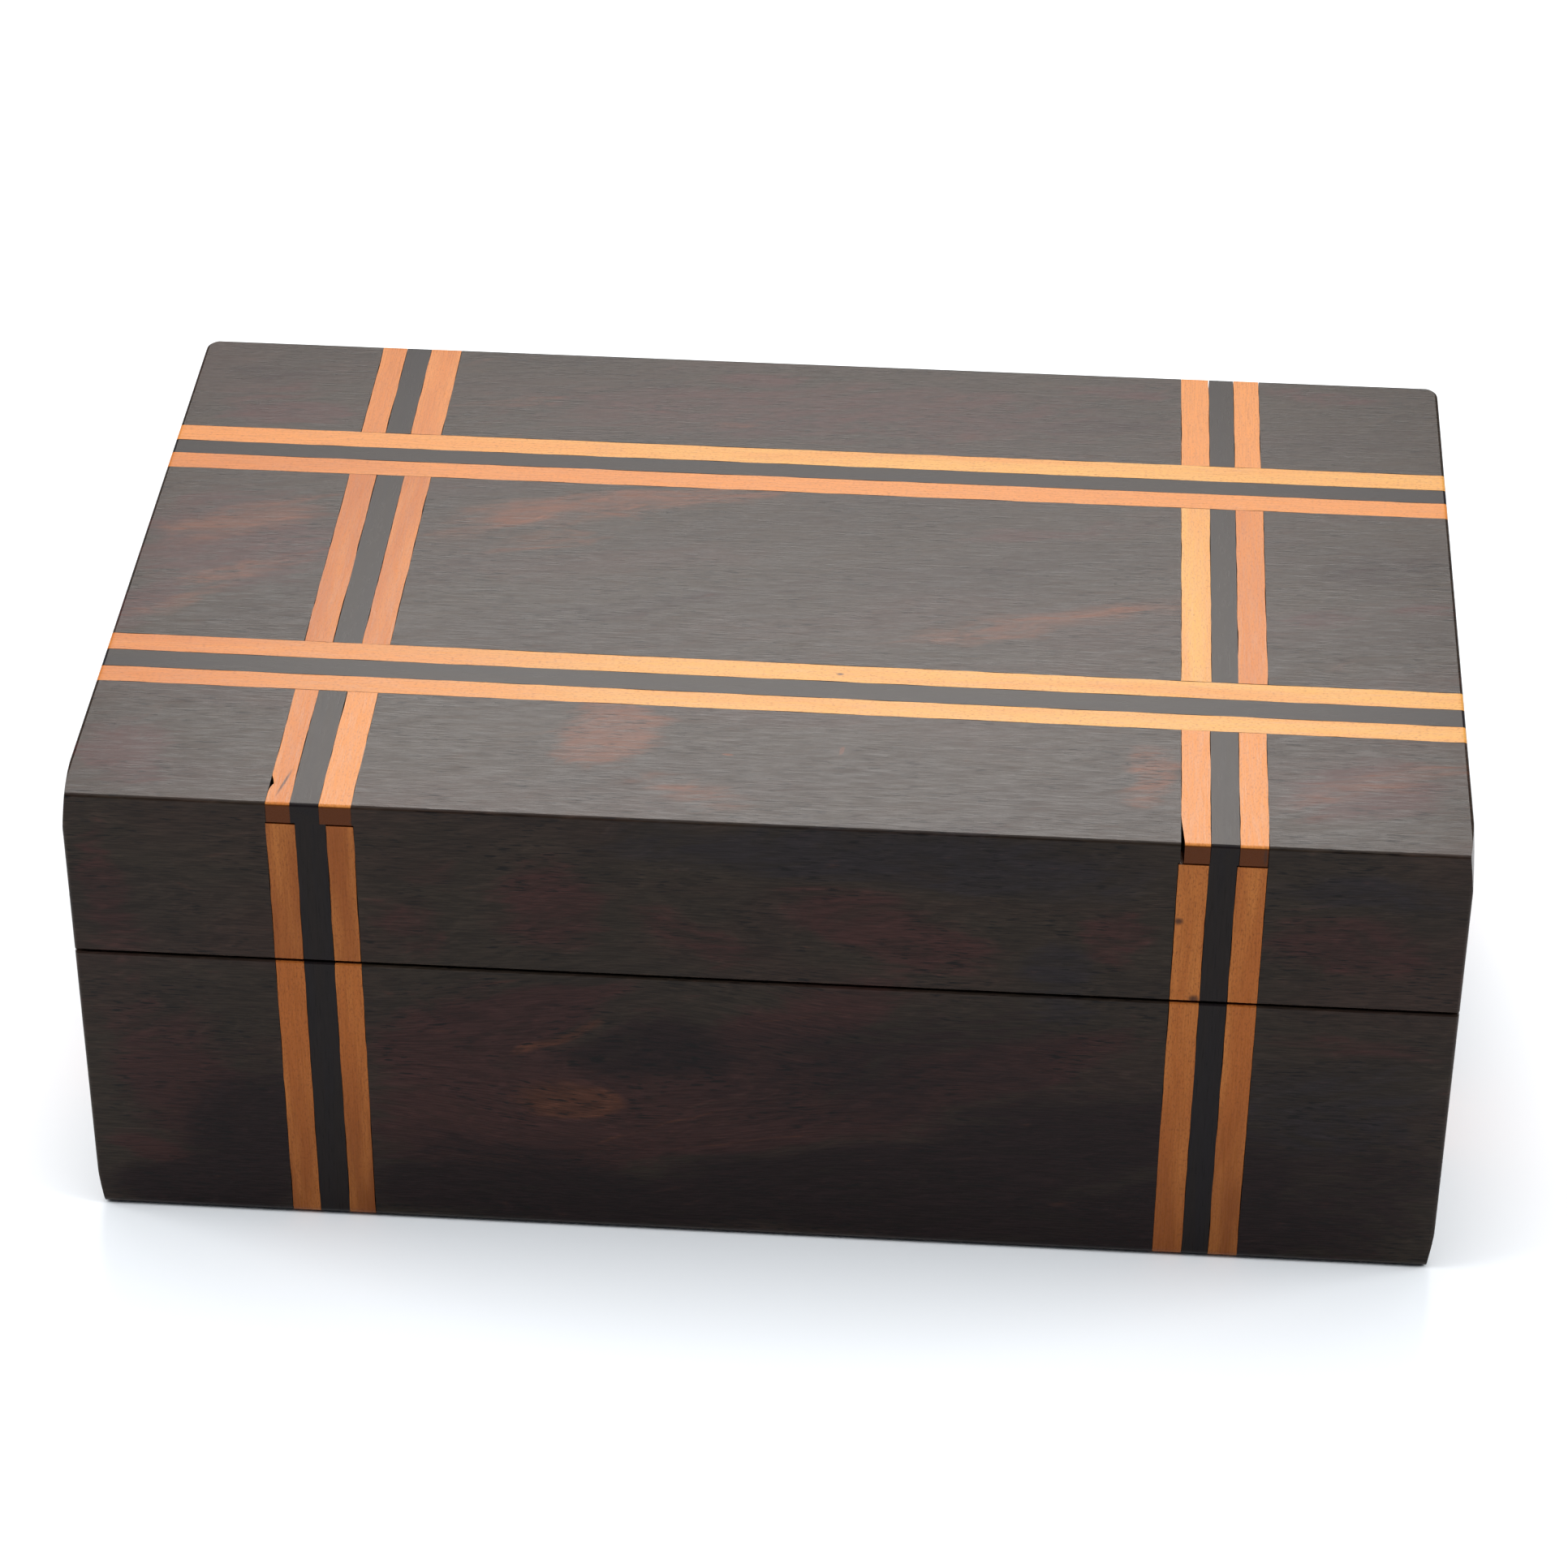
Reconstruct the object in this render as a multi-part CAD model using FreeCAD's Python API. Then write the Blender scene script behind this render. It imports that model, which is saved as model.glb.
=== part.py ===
import FreeCAD
import Part

import math
import os

# Inlaid wooden box with a hinged lid.
# X runs along the front from left to right, Y from front to back, Z up.
# The origin is under the middle of the box, on the surface it stands on. Millimetres and degrees.

# Overall size
BOX_LENGTH = 160.0
BOX_WIDTH = 102.0
BOX_HEIGHT = 61.0
SEAM_HEIGHT = 38.6  # middle of the saw cut that parts the lid from the base
SEAM_GAP = 0.3

# Boards
WALL_THICKNESS = 8.0
TOP_THICKNESS = 8.0
BOTTOM_THICKNESS = 5.0
CORNER_LIP = 4.0  # wood of the front or back board left outside the end board
BOTTOM_LIP = 4.0  # wood of every wall left outside the bottom panel

# Sanded edges
FRONT_CORNER_ROUND = 0.5
BACK_CORNER_ROUND = 2.5
TOP_END_ROUND = 0.4
TOP_ARRIS_ROUND = 0.4
FOOT_ROUND = 1.2
SEAM_ARRIS = 0.2
BACK_CHAMFER = 2.6  # opens the back of the seam so that the lid can swing

# The points of the front corners, top and bottom, sanded back to a large ball
CORNER_EASE = 0.7  # taken off along the front edge
CORNER_REACH_BACK = 9.0  # where the ball meets the end edge
CORNER_REACH_UPRIGHT = 6.0  # where the ball meets the upright edge
CORNER_BALL_RADIUS = 80.0
CORNER_MARGIN = 1.0  # outside the wood, round what is taken off

# Inlay bands, each of a light, a dark and a light strip
INLAY_DEPTH = 2.6
LEFT_BAND_INSET = 33.4  # from the left end to the edge of the band nearest the middle
RIGHT_BAND_INSET = 33.0
FRONT_BAND_INSET = 32.7
BACK_BAND_INSET = 31.5
WALL_BAND_SHIFT = 0.2  # bands on the walls sit this much nearer the middle than those on the top
FRONT_BAND_SKEW = 0.25  # the front long band drops towards the right end

# Strip widths, in order from the middle of the face outwards
STRIP_PLACES = ("inner_light", "dark", "outer_light")
FRONT_LONG_WIDTHS = (3.5, 3.4, 3.2)
BACK_LONG_WIDTHS = (3.5, 3.0, 3.6)
LEFT_CROSS_WIDTHS = {"front": (3.7, 3.3, 2.8), "middle": (3.4, 3.4, 3.5), "back": (4.0, 3.1, 3.2)}
RIGHT_CROSS_WIDTHS = {"front": (3.4, 3.2, 3.3), "middle": (3.6, 3.1, 3.5), "back": (3.6, 3.1, 3.3)}
LEFT_WALL_WIDTHS = (3.2, 3.5, 3.4)
RIGHT_WALL_WIDTHS = (3.5, 3.1, 3.5)

# Butt hinges, two in the back of the seam
HINGE_INSET = 48.0  # from each end of the box to the middle of its hinge
HINGE_LENGTH = 22.0
HINGE_AXIS_INSET = 2.0  # from the back face to the pin's axis
LEAF_THICKNESS = 0.8
LEAF_MARGIN = 1.0  # wood left between the leaf and the inside of the wall
LEAF_CLEARANCE = 0.1
KNUCKLE_RADIUS = 1.7
KNUCKLE_GAP = 0.2  # between neighbouring knuckles along the pin
KNUCKLE_CLEARANCE = 0.25  # round a knuckle, to the other leaf and to the wood
PIN_RADIUS = 0.9
PIN_CLEARANCE = 0.06
PIN_HEAD_RADIUS = 1.3
PIN_HEAD_THICKNESS = 0.5

# Countersunk slotted screws, two to a leaf
SCREW_SPACING = 14.0
SCREW_SETBACK = 1.7  # from the leaf's inner edge to the screw's axis
SCREW_LENGTH = 6.0
SCREW_HEAD_RADIUS = 1.2
SCREW_SHANK_RADIUS = 0.55
SCREW_POINT = 1.0
SCREW_SLOT_WIDTH = 0.35
SCREW_SLOT_DEPTH = 0.3
SCREW_CLEARANCE = 0.03

# Derived levels and planes
LEFT, RIGHT = -BOX_LENGTH / 2, BOX_LENGTH / 2
FRONT, BACK = -BOX_WIDTH / 2, BOX_WIDTH / 2
RIM = SEAM_HEIGHT - SEAM_GAP / 2
LID_LOW = SEAM_HEIGHT + SEAM_GAP / 2
TOP_LOW = BOX_HEIGHT - TOP_THICKNESS
INLAY_LOW = BOX_HEIGHT - INLAY_DEPTH
BODY_SPANS = {"base": (0.0, RIM), "lid": (LID_LOW, BOX_HEIGHT)}
HINGE_AXIS_Y = BACK - HINGE_AXIS_INSET
LEAF_EDGE_Y = BACK - WALL_THICKNESS + LEAF_MARGIN
HINGE_CENTRES = {"left": LEFT + HINGE_INSET, "right": RIGHT - HINGE_INSET}

X_AXIS = FreeCAD.Vector(1, 0, 0)
Y_AXIS = FreeCAD.Vector(0, 1, 0)
Z_AXIS = FreeCAD.Vector(0, 0, 1)


# Basic shapes

def block(x_span, y_span, z_span):
    """Square-edged block between two planes on each axis."""
    spans = (sorted(x_span), sorted(y_span), sorted(z_span))
    corner = FreeCAD.Vector(*(low for low, high in spans))
    return Part.makeBox(*(high - low for low, high in spans), corner)


def rod(radius, x_span):
    """Round bar along the hinge axis."""
    start = FreeCAD.Vector(x_span[0], HINGE_AXIS_Y, SEAM_HEIGHT)
    return Part.makeCylinder(radius, x_span[1] - x_span[0], start, X_AXIS)


def eased_face(corners):
    """Rectangle with each square corner rounded or chamfered by its own amount."""
    edges = []
    for index, (point, ease, is_round) in enumerate(corners):
        after, next_ease, next_is_round = corners[(index + 1) % len(corners)]
        to_before = (corners[index - 1][0] - point).normalize()
        to_after = (after - point).normalize()
        start = point + to_before * ease
        end = point + to_after * ease
        if is_round:
            middle = point + (to_before + to_after) * ease * (1 - math.sqrt(0.5))
            edges.append(Part.Arc(start, middle, end).toShape())
        else:
            edges.append(Part.makeLine(start, end))
        edges.append(Part.makeLine(end, after - to_after * next_ease))
    return Part.Face(Part.Wire(edges))


def rounded(ease):
    return ease, True


def chamfered(ease):
    return ease, False


def eased_prism(points, eases, sweep):
    """Prism on an eased rectangle, swept along one axis."""
    return eased_face([(point, *ease) for point, ease in zip(points, eases)]).extrude(sweep)


def corner_waste(x, z, inward_x, inward_z):
    """Wood taken off the point of a front corner, outside a ball through a point on each of its edges."""
    corner = FreeCAD.Vector(x, FRONT, z)
    on_front = corner + X_AXIS * inward_x * CORNER_EASE
    on_end = corner + Y_AXIS * CORNER_REACH_BACK
    on_upright = corner + Z_AXIS * inward_z * CORNER_REACH_UPRIGHT
    circle = Part.Circle(on_front, on_end, on_upright)
    inward = circle.Axis if circle.Axis.dot(on_front - corner) > 0 else -circle.Axis
    depth = math.sqrt(CORNER_BALL_RADIUS**2 - circle.Radius**2)
    ball = Part.makeSphere(CORNER_BALL_RADIUS, circle.Center + inward * depth)
    outer_x, outer_y, outer_z = x - inward_x * CORNER_MARGIN, FRONT - CORNER_MARGIN, z - inward_z * CORNER_MARGIN
    outline = [
        FreeCAD.Vector(outer_x, outer_y, outer_z),
        FreeCAD.Vector(outer_x, on_end.y + 2 * CORNER_MARGIN, outer_z),
        FreeCAD.Vector(outer_x, outer_y, on_upright.z + inward_z * CORNER_MARGIN),
    ]
    waste = Part.Face(Part.makePolygon(outline + outline[:1]))
    return waste.extrude(X_AXIS * inward_x * (CORNER_EASE + 2 * CORNER_MARGIN)).cut(ball)


def eased_body(body, front_eases, side_eases):
    """Outer form of the lid or the base, with its corners, edges and seam arrises eased."""
    low, high = BODY_SPANS[body]
    plan_points = [
        FreeCAD.Vector(x, y, low) for x, y in ((LEFT, FRONT), (RIGHT, FRONT), (RIGHT, BACK), (LEFT, BACK))
    ]
    front_points = [
        FreeCAD.Vector(x, FRONT, z) for x, z in ((LEFT, low), (RIGHT, low), (RIGHT, high), (LEFT, high))
    ]
    side_points = [
        FreeCAD.Vector(LEFT, y, z) for y, z in ((FRONT, low), (BACK, low), (BACK, high), (FRONT, high))
    ]
    plan_eases = [rounded(FRONT_CORNER_ROUND)] * 2 + [rounded(BACK_CORNER_ROUND)] * 2
    plan = eased_prism(plan_points, plan_eases, Z_AXIS * (high - low))
    front = eased_prism(front_points, front_eases, Y_AXIS * BOX_WIDTH)
    side = eased_prism(side_points, side_eases, X_AXIS * BOX_LENGTH)
    level, inward_z = (low, 1) if body == "base" else (high, -1)
    corners = [corner_waste(LEFT, level, 1, inward_z), corner_waste(RIGHT, level, -1, inward_z)]
    return plan.common(front).common(side).cut(corners)


def base_form():
    foot, arris = rounded(FOOT_ROUND), chamfered(SEAM_ARRIS)
    return eased_body("base", [foot, foot, arris, arris], [foot, foot, chamfered(BACK_CHAMFER), arris])


def lid_form():
    end, arris, seam = rounded(TOP_END_ROUND), rounded(TOP_ARRIS_ROUND), chamfered(SEAM_ARRIS)
    return eased_body("lid", [seam, seam, end, end], [seam, chamfered(BACK_CHAMFER), arris, arris])


# Boards

def wall_boards(names, z_span):
    """Front, back, left and right boards, the end ones housed in rebates of the other two."""
    x_inner = RIGHT - WALL_THICKNESS
    y_inner = BACK - WALL_THICKNESS
    y_lip = BACK - CORNER_LIP
    left = block((LEFT, -x_inner), (-y_lip, y_lip), z_span)
    right = block((x_inner, RIGHT), (-y_lip, y_lip), z_span)
    front = block((LEFT, RIGHT), (FRONT, -y_inner), z_span).cut([left, right])
    back = block((LEFT, RIGHT), (y_inner, BACK), z_span).cut([left, right])
    return dict(zip(names, (front, back, left, right)))


def base_boards():
    bottom = block(
        (LEFT + BOTTOM_LIP, RIGHT - BOTTOM_LIP),
        (FRONT + BOTTOM_LIP, BACK - BOTTOM_LIP),
        (0.0, BOTTOM_THICKNESS),
    )
    names = ("base_front_wall", "base_back_wall", "base_left_wall", "base_right_wall")
    walls = {name: wall.cut(bottom) for name, wall in wall_boards(names, BODY_SPANS["base"]).items()}
    return {**walls, "bottom_panel": bottom}


def lid_boards():
    names = ("lid_front_rail", "lid_back_rail", "lid_left_rail", "lid_right_rail")
    top = block((LEFT, RIGHT), (FRONT, BACK), (TOP_LOW, BOX_HEIGHT))
    return {**wall_boards(names, (LID_LOW, TOP_LOW)), "top_panel": top}


# Inlay. Every strip is first a square block, which also cuts its own groove.

def strip_spans(inner_edge, widths, outward):
    """Spans of a band's strips, side by side from the edge nearest the middle of the face."""
    spans = {}
    for place, width in zip(STRIP_PLACES, widths):
        spans[place] = (inner_edge, inner_edge + outward * width)
        inner_edge += outward * width
    return spans


def long_bands():
    """The two bands that run the whole length of the top."""
    overrun = BOX_LENGTH * math.tan(math.radians(FRONT_BAND_SKEW))
    bands = {}
    for side, inner_edge, widths, outward, skew in (
        ("front", FRONT + FRONT_BAND_INSET, FRONT_LONG_WIDTHS, -1, -FRONT_BAND_SKEW),
        ("back", BACK - BACK_BAND_INSET, BACK_LONG_WIDTHS, 1, 0.0),
    ):
        for place, span in strip_spans(inner_edge, widths, outward).items():
            strip = block((LEFT - overrun, RIGHT + overrun), span, (INLAY_LOW, BOX_HEIGHT))
            strip.rotate(FreeCAD.Vector(0, inner_edge, 0), Z_AXIS, skew)
            bands[f"top_{side}_band_{place}"] = strip
    return bands


def cross_bands(long_strips):
    """The bands from front to back of the top, cut into three lengths by the long bands."""
    front_line = FRONT + FRONT_BAND_INSET - sum(FRONT_LONG_WIDTHS) / 2
    back_line = BACK - BACK_BAND_INSET + sum(BACK_LONG_WIDTHS) / 2
    lengths = {"front": (FRONT, front_line), "middle": (front_line, back_line), "back": (back_line, BACK)}
    bands = {}
    for side, inner_edge, widths, outward in (
        ("left", LEFT + LEFT_BAND_INSET, LEFT_CROSS_WIDTHS, -1),
        ("right", RIGHT - RIGHT_BAND_INSET, RIGHT_CROSS_WIDTHS, 1),
    ):
        for length, y_span in lengths.items():
            for place, x_span in strip_spans(inner_edge, widths[length], outward).items():
                strip = block(x_span, y_span, (INLAY_LOW, BOX_HEIGHT)).cut(long_strips)
                bands[f"top_{side}_band_{length}_{place}"] = strip
    return bands


def upright_spans():
    """Spans along X of the bands on the front and back, and along Y of those on the ends."""
    along_x = {
        "left": strip_spans(LEFT + LEFT_BAND_INSET + WALL_BAND_SHIFT, LEFT_WALL_WIDTHS, -1),
        "right": strip_spans(RIGHT - RIGHT_BAND_INSET - WALL_BAND_SHIFT, RIGHT_WALL_WIDTHS, 1),
    }
    along_y = {
        "front": strip_spans(FRONT + FRONT_BAND_INSET + WALL_BAND_SHIFT, FRONT_LONG_WIDTHS, -1),
        "back": strip_spans(BACK - BACK_BAND_INSET - WALL_BAND_SHIFT, BACK_LONG_WIDTHS, 1),
    }
    return along_x, along_y


def upright_bands(body, z_span):
    """Upright strips of one body: single ones on the front, grouped ones on the back and ends."""
    along_x, along_y = upright_spans()
    bands = {}
    back_light, end_light, far_dark = [], [], []
    for side, spans in along_x.items():
        for place, span in spans.items():
            bands[f"{body}_front_{side}_band_{place}"] = block(span, (FRONT, FRONT + INLAY_DEPTH), z_span)
            group = far_dark if place == "dark" else back_light
            group.append(block(span, (BACK - INLAY_DEPTH, BACK), z_span))
    for spans in along_y.values():
        for place, span in spans.items():
            group = far_dark if place == "dark" else end_light
            group.append(block((LEFT, LEFT + INLAY_DEPTH), span, z_span))
            group.append(block((RIGHT - INLAY_DEPTH, RIGHT), span, z_span))
    bands[f"{body}_back_light_strips"] = Part.makeCompound(back_light)
    bands[f"{body}_end_light_strips"] = Part.makeCompound(end_light)
    bands[f"{body}_back_and_end_dark_strips"] = Part.makeCompound(far_dark)
    return bands


def lid_inlay():
    long_strips = long_bands()
    cross_strips = cross_bands(list(long_strips.values()))
    return {**long_strips, **cross_strips, **upright_bands("lid", (LID_LOW, INLAY_LOW))}


def base_inlay():
    return upright_bands("base", BODY_SPANS["base"])


# Hinges

def knuckle_spans(centre):
    """Spans of the three knuckles along the pin, the middle one on the lid's leaf."""
    start, end = centre - HINGE_LENGTH / 2, centre + HINGE_LENGTH / 2
    third, half_gap = HINGE_LENGTH / 3, KNUCKLE_GAP / 2
    outer = [(start, start + third - half_gap), (end - third + half_gap, end)]
    middle = [(start + third + half_gap, end - third - half_gap)]
    return {"base": outer, "lid": middle}


def widen(span, margin):
    return span[0] - margin, span[1] + margin


def leaf_z_span(body):
    """Levels of a leaf's face, flush with its side of the seam, and of its back, in the wood."""
    return (RIM, RIM - LEAF_THICKNESS) if body == "base" else (LID_LOW, LID_LOW + LEAF_THICKNESS)


def screw_solid(extra=0.0):
    """Countersunk screw pointing down from a head at the origin, or its hole if made a little larger."""
    head_radius, shank_radius = SCREW_HEAD_RADIUS + extra, SCREW_SHANK_RADIUS + extra
    shank_end = SCREW_LENGTH - SCREW_POINT
    head_depth = SCREW_HEAD_RADIUS - SCREW_SHANK_RADIUS
    outline = [
        (0.0, 0.0),
        (head_radius, 0.0),
        (shank_radius, -head_depth),
        (shank_radius, -shank_end - extra),
        (0.0, -SCREW_LENGTH - extra),
        (0.0, 0.0),
    ]
    profile = Part.Face(Part.makePolygon([FreeCAD.Vector(x, 0, z) for x, z in outline]))
    return profile.revolve(FreeCAD.Vector(), Z_AXIS, 360)


def slotted_screw():
    slot = block(
        (-SCREW_HEAD_RADIUS, SCREW_HEAD_RADIUS),
        (-SCREW_SLOT_WIDTH / 2, SCREW_SLOT_WIDTH / 2),
        (-SCREW_SLOT_DEPTH, 0.0),
    )
    return screw_solid().cut(slot)


def set_screws(body, centre, solid):
    """Copies of a screw or its hole in their places in one leaf, pointing into the wood."""
    face_level = leaf_z_span(body)[0]
    placed = []
    for x in (centre - SCREW_SPACING / 2, centre + SCREW_SPACING / 2):
        copy = solid.copy()
        if body == "lid":
            copy.rotate(FreeCAD.Vector(), X_AXIS, 180)
        copy.translate(FreeCAD.Vector(x, LEAF_EDGE_Y + SCREW_SETBACK, face_level))
        placed.append(copy)
    return placed


def hinge_leaf(body, centre):
    """Flat leaf with its own knuckles, cut back round those of the other leaf."""
    other = "lid" if body == "base" else "base"
    knuckles = knuckle_spans(centre)
    plate_x = (centre - HINGE_LENGTH / 2, centre + HINGE_LENGTH / 2)
    plate = block(plate_x, (LEAF_EDGE_Y, HINGE_AXIS_Y), leaf_z_span(body))
    room = [
        rod(KNUCKLE_RADIUS + KNUCKLE_CLEARANCE, widen(span, KNUCKLE_GAP)) for span in knuckles[other]
    ]
    own = [rod(KNUCKLE_RADIUS, span) for span in knuckles[body]]
    bore = rod(PIN_RADIUS + PIN_CLEARANCE, widen(plate_x, KNUCKLE_GAP))
    holes = set_screws(body, centre, screw_solid(SCREW_CLEARANCE))
    return plate.cut(room).fuse(own).cut([bore] + holes).removeSplitter()


def hinge_pin(centre):
    """Pin the length of the knuckles, with a peened head at each end."""
    span = (centre - HINGE_LENGTH / 2, centre + HINGE_LENGTH / 2)
    heads = [
        rod(PIN_HEAD_RADIUS, (span[0] - PIN_HEAD_THICKNESS, span[0])),
        rod(PIN_HEAD_RADIUS, (span[1], span[1] + PIN_HEAD_THICKNESS)),
    ]
    return rod(PIN_RADIUS, span).fuse(heads).removeSplitter()


def hinge_cuts(body, centre):
    """Mortise for a leaf, cove for the knuckles and pilot holes, to be cut from a wall or rail."""
    half_length = HINGE_LENGTH / 2
    mortise = block(
        widen((centre - half_length, centre + half_length), LEAF_CLEARANCE),
        (LEAF_EDGE_Y - LEAF_CLEARANCE, HINGE_AXIS_Y),
        leaf_z_span(body),
    )
    cove_reach = half_length + PIN_HEAD_THICKNESS + KNUCKLE_CLEARANCE
    cove = rod(KNUCKLE_RADIUS + KNUCKLE_CLEARANCE, (centre - cove_reach, centre + cove_reach))
    return [mortise, cove] + set_screws(body, centre, screw_solid(SCREW_CLEARANCE))


def hinges():
    nodes = {}
    screws = {"base": [], "lid": []}
    for side, centre in HINGE_CENTRES.items():
        for body in BODY_SPANS:
            nodes[f"{side}_hinge_{body}_leaf"] = hinge_leaf(body, centre)
            screws[body] += set_screws(body, centre, slotted_screw())
        nodes[f"{side}_hinge_pin"] = hinge_pin(centre)
    for body, solids in screws.items():
        nodes[f"{body}_hinge_screws"] = Part.makeCompound(solids)
    return nodes


# Assembly

def finished_wood(body, form, boards, inlay):
    """Boards with their grooves and hinge cuts, and the strips that fill the grooves."""
    cuts = [solid for strip in inlay.values() for solid in strip.Solids]
    for centre in HINGE_CENTRES.values():
        cuts += hinge_cuts(body, centre)
    nodes = {name: board.common(form).cut(cuts).removeSplitter() for name, board in boards.items()}
    for name, strip in inlay.items():
        solids = [solid.common(form).Solids[0] for solid in strip.Solids]
        nodes[name] = Part.makeCompound(solids) if len(solids) > 1 else solids[0]
    return nodes


def whole_box():
    return {
        **finished_wood("base", base_form(), base_boards(), base_inlay()),
        **finished_wood("lid", lid_form(), lid_boards(), lid_inlay()),
        **hinges(),
    }


os.makedirs("parts", exist_ok=True)
for node, shape in whole_box().items():
    if not shape.isValid():
        raise ValueError(f"{node} is not a valid solid")
    shape.exportStep(f"parts/{node}.step")
    print(f"{node}: {len(shape.Solids)} solids, {shape.Volume:.3f} mm3")
STOP_ANGLE = 2 * math.degrees(math.atan2(BACK_CHAMFER + SEAM_GAP / 2, HINGE_AXIS_INSET))
print(f"The back edges meet with the lid open {STOP_ANGLE:.1f} degrees")
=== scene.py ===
"""Inlaid wooden box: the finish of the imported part, laid out as a Blender add-on."""

import math

import bmesh
import bpy
from bpy.props import FloatProperty, FloatVectorProperty, PointerProperty
from mathutils import Euler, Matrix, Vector, noise


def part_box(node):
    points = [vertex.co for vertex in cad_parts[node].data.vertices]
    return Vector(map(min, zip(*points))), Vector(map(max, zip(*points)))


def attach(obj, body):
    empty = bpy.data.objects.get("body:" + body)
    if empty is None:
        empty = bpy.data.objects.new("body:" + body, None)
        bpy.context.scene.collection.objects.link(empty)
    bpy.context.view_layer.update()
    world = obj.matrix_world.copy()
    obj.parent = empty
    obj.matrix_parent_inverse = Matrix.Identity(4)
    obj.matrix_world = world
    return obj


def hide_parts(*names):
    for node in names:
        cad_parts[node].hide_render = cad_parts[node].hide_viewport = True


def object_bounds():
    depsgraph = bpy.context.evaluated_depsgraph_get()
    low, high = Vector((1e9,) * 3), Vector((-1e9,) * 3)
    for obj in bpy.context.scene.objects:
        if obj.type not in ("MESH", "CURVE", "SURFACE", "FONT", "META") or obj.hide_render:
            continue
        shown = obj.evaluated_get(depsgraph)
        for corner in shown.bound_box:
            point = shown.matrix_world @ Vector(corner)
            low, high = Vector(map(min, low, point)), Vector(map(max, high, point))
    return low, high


bl_info = {
    "name": "Inlaid Box",
    "version": (1, 0, 0),
    "blender": (4, 5, 0),
    "location": "3D View > Sidebar > Inlaid Box",
    "description": "Finishes the inlaid box in figured dark wood, light and black strips and brass",
    "category": "Object",
}

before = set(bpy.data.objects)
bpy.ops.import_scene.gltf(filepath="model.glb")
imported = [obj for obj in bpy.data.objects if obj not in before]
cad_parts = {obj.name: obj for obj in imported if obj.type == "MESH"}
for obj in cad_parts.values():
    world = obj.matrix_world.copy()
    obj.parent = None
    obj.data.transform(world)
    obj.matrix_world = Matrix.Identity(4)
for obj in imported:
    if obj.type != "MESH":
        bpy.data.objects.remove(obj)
cad_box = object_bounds()

MM = 0.001
X, Y, Z = 0, 1, 2
SIDES = ("left", "right")
PARTS = ("lid", "base")
LIGHT_STRIPS = ("inner_light", "outer_light")

# Turns that lay the grain, drawn along X, along another axis
GRAIN_ALONG = {X: (0, 0, 0), Y: (0, 0, math.pi / 2), Z: (0, math.pi / 2, 0)}


# Settings

def colour(name, description, default):
    """A linear colour that a user may change."""
    return FloatVectorProperty(name=name, description=description, subtype="COLOR", size=3, min=0, max=1,
                               default=default)


def length(name, description, default):
    """A length in metres that a user may change."""
    return FloatProperty(name=name, description=description, unit="LENGTH", min=0, precision=6,
                         default=default)


def share(name, description, default):
    """A share from nothing to all that a user may change."""
    return FloatProperty(name=name, description=description, subtype="FACTOR", min=0, max=1,
                         default=default)


def power(name, description, default):
    """The power of a light in watts that a user may change."""
    return FloatProperty(name=name, description=description, unit="POWER", min=0, default=default)


class DarkWoodSettings(bpy.types.PropertyGroup):
    """Colours and grain of the boards"""

    ground: colour("Ground", "Brown of the plain wood", (0.0255, 0.0178, 0.0125))
    figure: colour("Figure", "Red brown of the flame figure", (0.0385, 0.0150, 0.0128))
    # Shade is mostly dark figure; three front patches use it as painted shade on the base
    shade: colour("Shade", "Black brown of the dark figure", (0.0125, 0.0062, 0.0062))
    slate: colour("Slate", "Blue grey of the cool figure", (0.0168, 0.0128, 0.0138))
    eye: colour("Eye", "Orange brown of the knot's eye", (0.0620, 0.0220, 0.0125))
    flame: colour("Flame", "Orange of the bright figure on the top", (0.088, 0.030, 0.0145))
    pore: colour("Pores", "Colour in the open pores", (0.005, 0.004, 0.004))
    pore_length: length("Pore length", "Length of a pore along the grain", 2.0 * MM)
    pore_width: length("Pore width", "Width of a pore across the grain", 0.20 * MM)
    relief: length("Relief", "Depth of the grain's relief", 0.016 * MM)
    roughness: share("Roughness", "How dull the waxed surface is", 0.27)
    gloss: share("Gloss", "Strength of the surface reflection", 0.10)


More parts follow.
